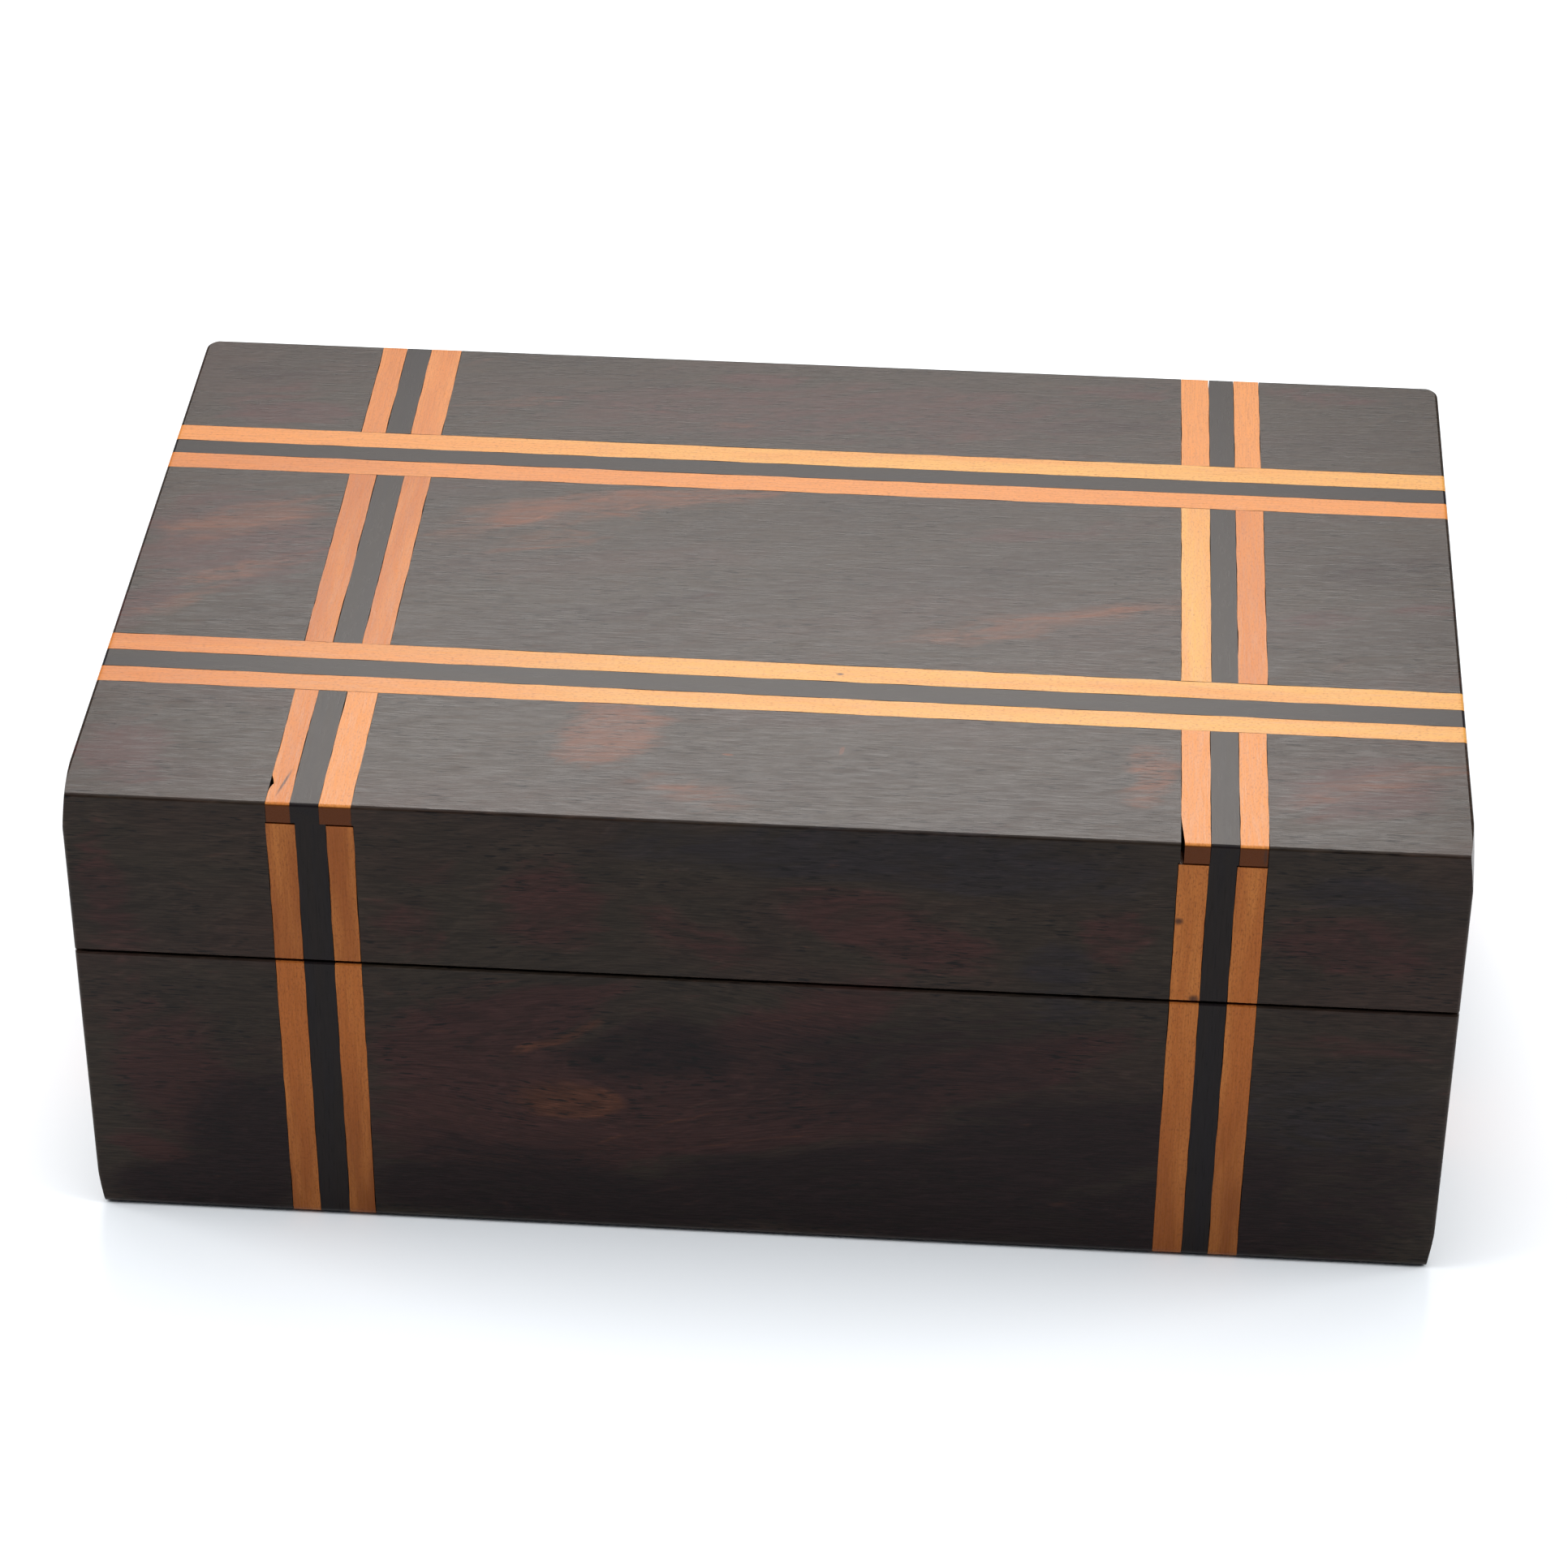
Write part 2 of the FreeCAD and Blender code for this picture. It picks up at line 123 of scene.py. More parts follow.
class InlaySettings(bpy.types.PropertyGroup):
    """Colours and edges of the inlaid strips"""

    amber: colour("Amber", "Orange tint of the light wood", (0.455, 0.145, 0.032))
    honey: colour("Honey", "Yellow tint of the light wood", (0.580, 0.280, 0.066))
    apricot: colour("Apricot", "Pink tint of the light wood", (0.535, 0.192, 0.044))
    tan: colour("Tan", "Brown tint of the light wood", (0.380, 0.109, 0.0215))
    # Chestnut and umber also give the painted shade towards the bottom of the front strips
    chestnut: colour("Chestnut", "Dark tint of the light wood", (0.285, 0.080, 0.0165))
    umber: colour("Umber", "Darkest tint of the light wood", (0.225, 0.062, 0.0125))
    end_grain: colour("End grain", "Brown of the light wood's cut ends", (0.094, 0.0235, 0.0035))
    fleck: colour("Flecks", "Brown of the flecks in the light wood", (0.20, 0.052, 0.012))
    # Marks also darken the strips' sides: painted shade in the narrow gaps beside the strips, with some
    # dirt
    mark: colour("Marks", "Dark brown of knots, cracks and strip sides", (0.055, 0.022, 0.013))
    black: colour("Black wood", "Main colour of the black strips", (0.0128, 0.0090, 0.0086))
    blue_black: colour("Blue black wood", "Cooler colour of the black strips", (0.0105, 0.0082, 0.0098))
    sheen: colour("Sheen", "Tint of the light that the black strips throw back", (0.97, 0.96, 0.90))
    roughness: share("Roughness", "How dull the waxed strips are", 0.28)
    gloss: share("Gloss", "Strength of the strips' reflection", 0.10)
    light_relief: length("Light relief", "Depth of the grain's relief on the light strips", 0.008 * MM)
    black_relief: length("Black relief", "Depth of the grain's relief on the black strips", 0.001 * MM)
    edge_wander: length("Edge wander", "How far a strip's edge strays from straight", 0.12 * MM)
    wander_step: length("Wander step", "Distance over which an edge strays", 5.0 * MM)
    cut_step: length("Cut step", "Distance between the sections of a strip", 0.8 * MM)
    glue_gap: length("Glue gap", "Dark gap above each upright strip of the lid", 0.22 * MM)


class BrassSettings(bpy.types.PropertyGroup):
    """Colours of the hinges"""

    brass: colour("Brass", "Bright brass", (0.62, 0.42, 0.15))
    tarnish: colour("Tarnish", "Brown of the tarnished brass", (0.20, 0.12, 0.045))
    roughness: share("Roughness", "How dull the brass is", 0.34)
    relief: length("Relief", "Depth of the scratches", 0.006 * MM)


class StageSettings(bpy.types.PropertyGroup):
    """Camera, lights and floor"""

    camera_place: FloatVectorProperty(
        name="Camera place", description="Where the camera stands", subtype="TRANSLATION", unit="LENGTH",
        default=(0.029998, -0.475920, 0.372604), precision=6)
    camera_turn: FloatVectorProperty(
        name="Camera turn", description="How the camera is turned", subtype="EULER", unit="ROTATION",
        default=tuple(math.radians(angle) for angle in (54.3232, -0.3041, 3.9296)))
    lens: FloatProperty(name="Lens", description="Focal length on a 36 mm frame", unit="CAMERA",
                        default=107.80)
    floor: colour("Floor", "Colour of the floor", (0.94, 0.95, 0.96))
    floor_radius: length("Floor radius", "Radius of the floor", 5.0)
    floor_roughness: share("Floor roughness", "How dull the floor is", 0.9)
    floor_gloss: share("Floor gloss", "Strength of the floor's reflection", 0.1)
    back_power: power("Back light", "Power of the light behind the box", 56)
    top_power: power("Top light", "Power of the light above the box", 45)
    side_power: power("Side lights", "Power of each light beside the box", 54)
    sky: colour("Sky", "Colour of the light from all round", (0.70, 0.82, 1.0))
    sky_strength: FloatProperty(name="Sky strength", description="Strength of the light from all round",
                                min=0, default=0.06)


# Materials

# Grain patterns: length and width in mm, detail, roughness, and a shift that keeps them apart
GRAINS = {
    "wave": (26.0, 8.0, 2.0, 0.5, 0.0),
    "streak": (16.0, 1.3, 3.0, 0.6, 0.0),
    "flame": (50.0, 10.0, 3.0, 0.5, 3.7),
    "gloom": (60.0, 12.0, 3.0, 0.5, 9.1),
    "fibre": (3.2, 0.14, 2.0, 0.5, 0.0),
    "silk": (24.0, 0.5, 2.0, 0.5, 7.7),
    "crowd": (10.0, 4.0, 2.0, 0.5, 6.2),
    "brush": (7.0, 0.32, 2.0, 0.5, 4.4),
    "light_cloud": (26.0, 2.6, 2.0, 0.5, 5.3),
    "light_fibre": (4.0, 0.16, 2.0, 0.5, 0.0),
    "fleck": (0.45, 0.20, 2.0, 0.6, 1.9),
    "black_cloud": (30.0, 1.6, 2.0, 0.5, 0.0),
    "black_fibre": (3.0, 0.16, 2.0, 0.5, 0.0),
    "tarnish": (5.0, 3.0, 4.0, 0.6, 0.0),
    "scratch": (6.0, 0.12, 2.0, 0.5, 0.0),
    "mottle": (300.0, 300.0, 2.0, 0.5, 0.0),
}
# Detail, roughness and shift of the pores, whose length and width are settings
PORE_NOISE = (1.0, 0.5, 2.3)
NOISE_MIDDLE = (0.5, 0.5, 0.5)

# Smooth steps: where each starts and ends, and what it gives before and after
STEPS = {
    "free_figure": (0.46, 0.70, 0.0, 1.0),
    "fibre": (0.25, 0.75, 0.72, 1.28),
    "streak": (0.25, 0.75, 0.82, 1.18),
    "silk": (0.50, 0.75, 0.96, 1.30),
    "crowd": (0.38, 0.58, 0.0, 1.0),
    "pore": (0.59, 0.68, 0.0, 1.0),
    "patch": (0.88, 1.70, 0.0, 1.0),
    "light_cloud": (0.35, 0.75, 0.0, 0.6),
    "light_fibre": (0.25, 0.75, 0.90, 1.08),
    "mark": (1.0, 0.2, 0.0, 0.9),
    "facing": (0.72, 0.90, 0.0, 1.0),
    "black_cloud": (0.30, 0.70, 0.0, 1.0),
    "black_fibre": (0.25, 0.75, 0.80, 1.15),
    "tarnish": (0.42, 0.68, 0.0, 0.8),
    "scratch": (0.55, 0.75, 0.0, 0.12),
    "mottle": (0.20, 0.80, 0.985, 1.0),
}
# Steps of the roughness: where each starts and ends, and what it adds to the setting before and after
DULL_STEPS = {
    "dark_wood": (0.2, 0.8, -0.10, 0.02),
    "light_wood": (0.2, 0.8, -0.05, 0.07),
    "black_wood": (0.2, 0.8, -0.01, 0.02),
    "brass": (0.3, 0.7, -0.08, 0.16),
}
# Places of the colours among the sockets of a Mix node
MIX_FIRST, MIX_SECOND, MIX_RESULT = 6, 7, 2


class Finish:
    """A material under way, with short calls that add and link its nodes."""

    def __init__(self, name):
        self.material = bpy.data.materials.new(name)
        self.material.use_nodes = True
        self.tree = self.material.node_tree
        self.shader = self.tree.nodes["Principled BSDF"]

    def feed(self, socket, value):
        """Links a socket, or sets its value."""
        if isinstance(value, bpy.types.NodeSocket):
            self.tree.links.new(value, socket)
        else:
            socket.default_value = value

    def node(self, kind, sockets, **settings):
        """A new node with its settings and its sockets fed."""
        made = self.tree.nodes.new("ShaderNode" + kind)
        for key, value in settings.items():
            setattr(made, key, value)
        for key, value in sockets.items():
            self.feed(made.inputs[key], value)
        return made

    def math(self, operation, *values, clamp=True):
        """A number worked out from others, kept from 0 to 1 unless clamp is off."""
        made = self.node("Math", dict(enumerate(values)), operation=operation, use_clamp=clamp)
        return made.outputs[0]

    def vector(self, operation, *values, output="Vector"):
        """A vector, or with output Value a number, worked out from vectors."""
        return self.node("VectorMath", dict(enumerate(values)), operation=operation).outputs[output]

    def scaled(self, tone, factor):
        """A colour made lighter or darker by a factor."""
        return self.node("VectorMath", {0: tone, "Scale": factor}, operation="SCALE").outputs[0]

    def reach(self, vector):
        """The length of a vector."""
        return self.vector("LENGTH", vector, output="Value")

    def step(self, value, low, high, start=0.0, end=1.0):
        """A smooth step from start to end as the value goes from low to high."""
        values = dict(enumerate((value, low, high, start, end)))
        return self.node("MapRange", values, interpolation_type="SMOOTHSTEP").outputs[0]

    def mix(self, factor, first, second):
        """One colour laid over another."""
        sockets = {0: factor, MIX_FIRST: first, MIX_SECOND: second}
        return self.node("Mix", sockets, data_type="RGBA").outputs[MIX_RESULT]

    def coordinates(self, kind="Object"):
        """Where a point lies on the object, or its normal there."""
        return self.node("TexCoord", {}).outputs[kind]

    def turned(self, place, turn):
        """A place turned about the origin."""
        return self.node("Mapping", {"Vector": place, "Rotation": turn}).outputs[0]

    def grain(self, place, pattern, output=0):
        """Noise drawn out along the grain in one of the patterns."""
        along, across, detail, roughness, shift = pattern
        spot = self.node("Mapping", {
            "Vector": place,
            "Location": (shift, shift, shift),
            "Scale": tuple(1 / (size * MM) for size in (along, across, across)),
        }).outputs[0]
        made = self.node("TexNoise", {
            "Vector": spot,
            "Scale": 1.0,
            "Detail": detail,
            "Roughness": roughness,
        })
        return made.outputs[output]

    def spot(self, place, middle, half, tilt=(0, 0, 0)):
        """The place seen from a middle, in half sizes; sizes in mm, tilt in degrees."""
        return self.node("Mapping", {
            "Vector": place,
            "Location": tuple(value * MM for value in middle),
            "Rotation": tuple(math.radians(angle) for angle in tilt),
            "Scale": tuple(value * MM for value in half),
        }, vector_type="TEXTURE").outputs[0]

    def dullness(self, value, kind, roughness):
        """A roughness that follows a grain about its setting."""
        low, high, start, end = DULL_STEPS[kind]
        return self.step(value, low, high, roughness + start, roughness + end)

    def surface(self, sockets):
        """Feeds the shader's own sockets."""
        for key, value in sockets.items():
            self.feed(self.shader.inputs[key], value)

    def bump(self, height, depth):
        """Sends a height to the shader's normal."""
        made = self.node("Bump", {"Height": height, "Distance": depth, "Strength": 1.0})
        self.surface({"Normal": made.outputs[0]})


def rgba(value):
    """A colour with full opacity."""
    return (*value, 1.0)


def unit(axis):
    """A step of one along an axis."""
    return tuple(1.0 if i == axis else 0.0 for i in (X, Y, Z))


# Planes of the front and of the top in mm
FRONT, TOP = cad_box[0][Y] / MM, cad_box[1][Z] / MM
# Patches of figure, and on the base of the front three of painted shade: tone, middle and half sizes in
# mm, rise to the right in degrees, strength
FRONT_FIGURE = (
    ("figure", (-22.5, 48.0), (7.5, 7.0), 0, 0.85),
    ("figure", (-40.0, 44.5), (5.5, 4.5), 0, 0.60),
    ("figure", (-37.0, 53.5), (4.5, 1.7), 0, 0.50),
    ("figure", (-6.0, 44.0), (7.5, 3.1), -27, 0.70),
    ("figure", (15.0, 47.0), (14.0, 4.4), -20, 0.85),
    ("figure", (7.0, 34.5), (11.5, 3.2), 28, 0.80),
    ("figure", (41.0, 48.0), (5.0, 5.3), 0, 0.70),
    ("slate", (14.0, 57.0), (32.0, 4.1), -2, 0.80),
    ("slate", (34.0, 43.0), (5.5, 4.2), 0, 0.75),
    ("slate", (35.0, 36.5), (5.5, 2.4), 0, 0.60),
    ("figure", (-33.0, 25.0), (14.0, 12.0), 0, 0.80),
    ("figure", (-8.0, 21.0), (16.0, 8.0), 12, 0.55),
    ("figure", (-26.5, 33.0), (14.5, 3.6), 22, 0.85),
    ("eye", (-22.0, 29.5), (6.0, 1.2), 24, 0.70),
    ("eye", (-22.5, 20.0), (6.0, 2.5), 0, 1.15),
    ("eye", (-12.6, 16.3), (13.5, 0.3), 24, 0.42),
    ("eye", (-1.3, 14.3), (11.2, 0.3), 16, 0.42),
    ("eye", (6.5, 34.9), (6.1, 0.3), 28, 0.40),
    ("shade", (-11.5, 28.0), (9.0, 4.0), 15, 0.55),
    ("shade", (-10.0, 20.0), (45.0, 15.0), 8, 0.34),
    ("figure", (-8.0, 20.0), (48.0, 15.0), 8, 0.42),
    ("figure", (-32.5, 11.5), (13.5, 3.8), 0, 0.80),
    ("figure", (-3.5, 16.0), (21.0, 3.7), 13, 0.95),
    ("figure", (-0.5, 22.5), (14.0, 2.7), 26, 0.70),
    ("figure", (30.0, 27.5), (17.5, 3.4), 16, 0.85),
    ("figure", (39.5, 16.0), (9.0, 1.9), 15, 0.65),
    ("shade", (-27.0, 4.0), (21.5, 4.4), 0, 0.85),
    # Painted shade that darkens the lower base
    ("shade", (-34.0, 9.0), (16.0, 5.0), 0, 0.45),
    ("shade", (7.5, 8.5), (25.0, 5.1), 13, 0.85),
    ("shade", (27.5, 13.5), (22.0, 6.9), 22, 0.85),
    ("shade", (38.0, 3.5), (30.0, 6.0), 0, 0.85),
    ("shade", (48.0, 13.0), (10.0, 13.0), 0, 0.60),
    ("figure", (-76.0, 50.0), (3.0, 7.0), 0, 0.70),
    ("figure", (-75.0, 39.5), (4.5, 5.4), 0, 0.60),
    ("figure", (-71.0, 25.0), (10.0, 7.0), -30, 0.80),
    ("shade", (-60.0, 11.0), (9.0, 9.0), -30, 0.60),
    ("figure", (-67.0, 15.0), (12.0, 7.0), -25, 0.75),
    ("figure", (-72.5, 8.0), (7.0, 2.3), -22, 0.90),
    ("shade", (-67.0, 2.5), (13.0, 4.0), 0, 0.85),
    ("slate", (68.5, 55.0), (10.5, 3.2), -7, 0.75),
    ("figure", (69.0, 47.0), (10.5, 4.9), -6, 0.75),
    ("figure", (69.0, 33.5), (10.0, 2.6), -4, 0.55),
    # These two shade patches are painted shade that darkens the base below the lid
    ("shade", (22.0, 29.0), (30.0, 9.0), 8, 0.42),
    ("shade", (-66.0, 18.0), (15.0, 18.0), 0, 0.45),
    ("shade", (67.0, 13.0), (17.0, 14.0), 10, 0.72),
    ("slate", (67.0, 24.0), (15.0, 7.0), 8, 0.60),
)
TOP_FIGURE = (
    ("flame", (-25.0, 14.0), (25.0, 3.4), 16, 0.78),
    ("flame", (-33.5, 5.5), (10.0, 2.0), 19, 0.50),
    ("flame", (-68.0, 7.5), (11.0, 3.5), 24, 0.70),
    ("figure", (-69.0, 3.0), (13.0, 12.0), 24, 0.90),
    ("figure", (-78.0, -12.0), (4.0, 6.0), 0, 0.90),
    ("flame", (-69.0, -3.5), (9.5, 2.5), 26, 0.66),
    ("flame", (-73.5, -11.0), (6.0, 2.1), 38, 0.55),
    ("flame", (30.5, -7.5), (16.5, 2.3), 18, 0.63),
    ("figure", (33.0, 12.5), (13.0, 2.2), 15, 0.60),
    ("flame", (-20.0, -34.5), (6.0, 7.5), 10, 1.05),
    ("flame", (-7.5, -45.2), (8.0, 2.2), -14, 0.50),
    ("flame", (44.0, -38.0), (3.6, 6.0), 0, 0.70),
    ("flame", (70.0, -37.5), (12.0, 3.2), 30, 0.56),
    ("figure", (69.0, -38.5), (10.0, 7.0), 16, 0.95),
    ("figure", (-74.0, -42.0), (6.0, 8.0), 13, 1.00),
    ("figure", (0.0, 38.5), (45.5, 7.6), 2, 0.70),
    ("figure", (-69.0, 38.0), (9.5, 6.0), 23, 0.55),
    ("flame", (-38.7, 38.0), (8.0, 1.3), 3, 0.45),
    ("flame", (-15.5, 35.2), (8.0, 1.2), 3, 0.40),
    ("figure", (-7.0, 46.0), (6.0, 1.6), 0, 0.60),
    ("figure", (38.0, 46.8), (10.0, 2.0), 0, 0.70),
    ("figure", (-66.0, 33.0), (9.0, 2.5), 5, 0.70),
    ("figure", (66.0, 46.6), (10.0, 2.2), -8, 0.75),
    ("shade", (36.0, 38.6), (11.0, 1.8), 3, 0.55),
    ("shade", (68.0, 37.7), (10.0, 3.2), 0, 0.50),
    ("shade", (-68.0, 43.9), (9.0, 2.8), 0, 0.55),
    ("figure", (63.5, -4.0), (6.0, 2.0), 5, 0.75),
    ("figure", (76.0, -1.5), (4.0, 2.6), 8, 0.75),
    ("shade", (69.5, 7.0), (9.0, 4.7), 19, 0.60),
    ("shade", (-16.5, -7.0), (26.0, 2.1), 17, 0.50),
    ("shade", (18.5, 1.0), (17.0, 2.2), 19, 0.50),
    ("flame", (5.8, -36.3), (0.26, 0.26), 0, 1.60),
    ("flame", (-6.5, -37.2), (0.6, 0.2), 0, 1.60),
)
# Depth of a patch in mm, how far it feathers out past its half sizes, and the share of it at full strength
PATCH_DEPTH, PATCH_FEATHER, PATCH_CORE = 8.0, 1.45, 0.3
# How strongly the streaks break up a patch
STREAK_PULL = 1.4
# How far the figure wanders along each axis in mm
FIGURE_DRIFT = (14.0, 8.0, 8.0)
# Lean of the flame figure, which rises to the right on the top and the front
FIGURE_LEAN = (0, math.radians(9), math.radians(-14))
# Share of the free figure that shows on the boards with patches
PATCHED_WILD = 0.3
# Knot on the front: middle and half sizes in mm, and how far it spreads the grain round it
KNOT_MIDDLE, KNOT_HALF, KNOT_SPREAD = (-16.0, FRONT, 24.5), (36.0, 12.0, 22.0), 0.6


def figure_patches(tone):
    """Middle, feathered half sizes, tilt and strength of each patch of one tone."""
    patches = [((along, FRONT, up), (half, PATCH_DEPTH, height), (0, -rise, 0), strength)
               for kind, (along, up), (half, height), rise, strength in FRONT_FIGURE if kind == tone]
    patches += [((along, back, TOP), (half, height, PATCH_DEPTH), (0, 0, rise), strength)
                for kind, (along, back), (half, height), rise, strength in TOP_FIGURE if kind == tone]
    for middle, half, tilt, strength in patches:
        yield middle, tuple(PATCH_FEATHER * value for value in half), tilt, strength


def reaches(board, middle, half, tilt):
    """Whether a patch, wherever the figure wanders, can show inside a board's box."""
    turn = Euler([math.radians(angle) for angle in tilt]).to_matrix()
    for axis, (low, high) in enumerate(zip(*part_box(board))):
        extent = math.hypot(*(turn[axis][i] * half[i] for i in (X, Y, Z))) + FIGURE_DRIFT[axis] / 2
        if not low / MM - extent < middle[axis] < high / MM + extent:
            return False
    return True


def patch_tone(finish, place, streaks, tone, board):
    """The patches of one tone on a board, added up and feathered into streaks."""
    total = 0.0
    for middle, half, tilt, strength in figure_patches(tone):
        if reaches(board, middle, half, tilt):
            away = finish.reach(finish.spot(place, middle, half, tilt))
            total = finish.math("ADD", finish.step(away, 1.0, PATCH_CORE, 0.0, strength), total)
    broken = finish.math("MULTIPLY_ADD", streaks, STREAK_PULL, total, clamp=False)
    return finish.step(broken, *STEPS["patch"])


def round_knot(finish, place):
    """The place moved so that the grain drawn there bends round the knot."""
    spot = finish.spot(place, KNOT_MIDDLE, KNOT_HALF)
    near = finish.step(finish.reach(spot), 1.0, 0.0, 0.0, KNOT_SPREAD)
    away = finish.vector("SUBTRACT", place, tuple(value * MM for value in KNOT_MIDDLE))
    squeeze = finish.node("CombineXYZ", {Z: near}).outputs[0]
    return finish.vector("SUBTRACT", place, finish.vector("MULTIPLY", away, squeeze))


def figure_tone(finish, wood, flow, lean, streaks, wild, board):
    """The colour of the figure, free over the whole board and in patches where it has them."""
    flame = finish.grain(lean, GRAINS["flame"])
    gloom = finish.grain(lean, GRAINS["gloom"])
    red = finish.math("MULTIPLY", finish.step(flame, *STEPS["free_figure"]), wild)
    dark = finish.math("MULTIPLY", finish.step(gloom, *STEPS["free_figure"]), wild)
    if board:
        red = finish.math("MAXIMUM", red, patch_tone(finish, flow, streaks, "figure", board))
        dark = finish.math("MAXIMUM", dark, patch_tone(finish, flow, streaks, "shade", board))
    tone = finish.mix(red, rgba(wood.ground), rgba(wood.figure))
    tone = finish.mix(dark, tone, rgba(wood.shade))
    if board:
        for kind in ("slate", "flame", "eye"):
            patches = patch_tone(finish, flow, streaks, kind, board)
            tone = finish.mix(patches, tone, rgba(getattr(wood, kind)))
    return tone


# How strongly the pores colour the wood, and what streaks and pores add to its roughness
PORE_STRENGTH, STREAK_DULL, PORE_DULL = 0.9, 0.10, 0.03
# Height of the plain wood as a share of the relief, and what fibres, brush marks and pores add
PLAIN_HEIGHT, FIBRE_HEIGHT, BRUSH_HEIGHT, PORE_HEIGHT = 0.1, 0.5, 0.35, -0.07


def dark_wood(name, wood, turn=(0, 0, 0), wild=1.0, board=None):
    """Dark wood with open pores; wild is its share of free figure, board a node that has patches."""
    finish = Finish(name)
    place = finish.turned(finish.coordinates(), turn)
    swing = finish.vector("SUBTRACT", finish.grain(place, GRAINS["wave"], "Color"), NOISE_MIDDLE)
    drift = finish.vector("MULTIPLY", swing, tuple(value * MM for value in FIGURE_DRIFT))
    flow = finish.vector("ADD", place, drift)
    spread = round_knot(finish, place) if board else place
    lean = finish.turned(finish.vector("ADD", spread, drift), FIGURE_LEAN)
    streaks = finish.grain(lean, GRAINS["streak"])
    tone = figure_tone(finish, wood, flow, lean, streaks, wild, board)

    fibre = finish.grain(spread, GRAINS["fibre"])
    silk = finish.grain(lean, GRAINS["silk"])
    lines = finish.math("MULTIPLY", finish.step(fibre, *STEPS["fibre"]),
                        finish.step(streaks, *STEPS["streak"]), clamp=False)
    lines = finish.math("MULTIPLY", lines, finish.step(silk, *STEPS["silk"]), clamp=False)
    tone = finish.scaled(tone, lines)

    cells = finish.grain(spread, (wood.pore_length / MM, wood.pore_width / MM, *PORE_NOISE))
    crowd = finish.step(finish.grain(flow, GRAINS["crowd"]), *STEPS["crowd"])
    pores = finish.math("MULTIPLY", finish.step(cells, *STEPS["pore"]), crowd)
    tone = finish.mix(finish.math("MULTIPLY", pores, PORE_STRENGTH), tone, rgba(wood.pore))

    dull = finish.dullness(fibre, "dark_wood", wood.roughness)
    dull = finish.math("MULTIPLY_ADD", streaks, STREAK_DULL, dull)
    finish.surface({
        "Base Color": tone,
        "Roughness": finish.math("MULTIPLY_ADD", pores, PORE_DULL, dull),
        "Specular IOR Level": wood.gloss,
    })

    brush = finish.grain(spread, GRAINS["brush"])
    height = finish.math("MULTIPLY_ADD", fibre, FIBRE_HEIGHT, PLAIN_HEIGHT)
    height = finish.math("MULTIPLY_ADD", brush, BRUSH_HEIGHT, height)
    height = finish.math("MULTIPLY_ADD", pores, PORE_HEIGHT, height)
    finish.bump(height, wood.relief)
    return finish.material


# Knots, cracks and specks in the light strips: middle and half sizes in mm, turn about Z in degrees
STRIP_MARKS = (
    ((7.0, -20.2, TOP), (0.6, 0.35, 1.0), 0),
    ((-46.3, 23.2, TOP), (0.5, 0.4, 1.0), 0),
    ((-54.8, -46.8, TOP), (3.6, 0.24, 1.0), 78),
    ((-46.5, FRONT, 58.9), (0.5, 1.0, 0.4), 0),
    ((56.5, FRONT, 59.8), (0.25, 1.5, 1.6), 0),
    ((47.3, FRONT, 50.2), (0.8, 1.0, 0.7), 0),
    ((49.6, FRONT, 39.1), (0.9, 1.0, 0.9), 0),
)
# Where a strip's low tint gives way to its main one, in mm along the grain; on the upright strips the low
# tint is painted shade towards the bottom of the box
TINT_SPAN = {X: (-78, 5), Z: (3, 32)}
# How strongly the flecks show on strips that run along each axis, and the noise that they start and end at
FLECK_STRENGTH = {X: 0.52, Y: 0.50, Z: 0.85}
FLECK_START, FLECK_END = 0.48, 0.74


def facing(finish, axis):
    """How squarely the surface faces along an axis, either way."""
    turned = finish.vector("DOT_PRODUCT", finish.coordinates("Normal"), unit(axis), output="Value")
    return finish.step(finish.math("ABSOLUTE", turned, clamp=False), *STEPS["facing"])


def light_wood(name, inlay, tint, axis, across, low_tint=None):
    """Waxed light wood with its grain along an axis; low_tint colours its left end, or on upright strips
    its lower end with painted shade.
    """
    finish = Finish(name)
    place = finish.turned(finish.coordinates(), GRAIN_ALONG[axis])
    tone = rgba(getattr(inlay, tint))
    if low_tint:
        along = finish.node("SeparateXYZ", {0: place}).outputs[0]
        low, high = TINT_SPAN[axis]
        tone = finish.mix(finish.step(along, low * MM, high * MM), rgba(getattr(inlay, low_tint)), tone)
    cloud = finish.grain(place, GRAINS["light_cloud"])
    tone = finish.mix(finish.step(cloud, *STEPS["light_cloud"]), tone, rgba(inlay.apricot))
    fibre = finish.grain(place, GRAINS["light_fibre"])
    tone = finish.scaled(tone, finish.step(fibre, *STEPS["light_fibre"]))
    cells = finish.grain(place, GRAINS["fleck"])
    flecks = finish.step(cells, FLECK_START, FLECK_END, 0.0, FLECK_STRENGTH[axis])
    tone = finish.mix(flecks, tone, rgba(inlay.fleck))
    tone = finish.mix(facing(finish, axis), tone, rgba(inlay.end_grain))
    for middle, half, turn in STRIP_MARKS:
        away = finish.reach(finish.spot(finish.coordinates(), middle, half, (0, 0, turn)))
        tone = finish.mix(finish.step(away, *STEPS["mark"]), tone, rgba(inlay.mark))
    # The sides across the strip take the mark colour: painted shade of the deep gaps beside it, with some
    # dirt
    tone = finish.mix(facing(finish, across), tone, rgba(inlay.mark))
    finish.surface({
        "Base Color": tone,
        "Roughness": finish.dullness(fibre, "light_wood", inlay.roughness),
        "Specular IOR Level": inlay.gloss,
    })
    finish.bump(fibre, inlay.light_relief)
    return finish.material


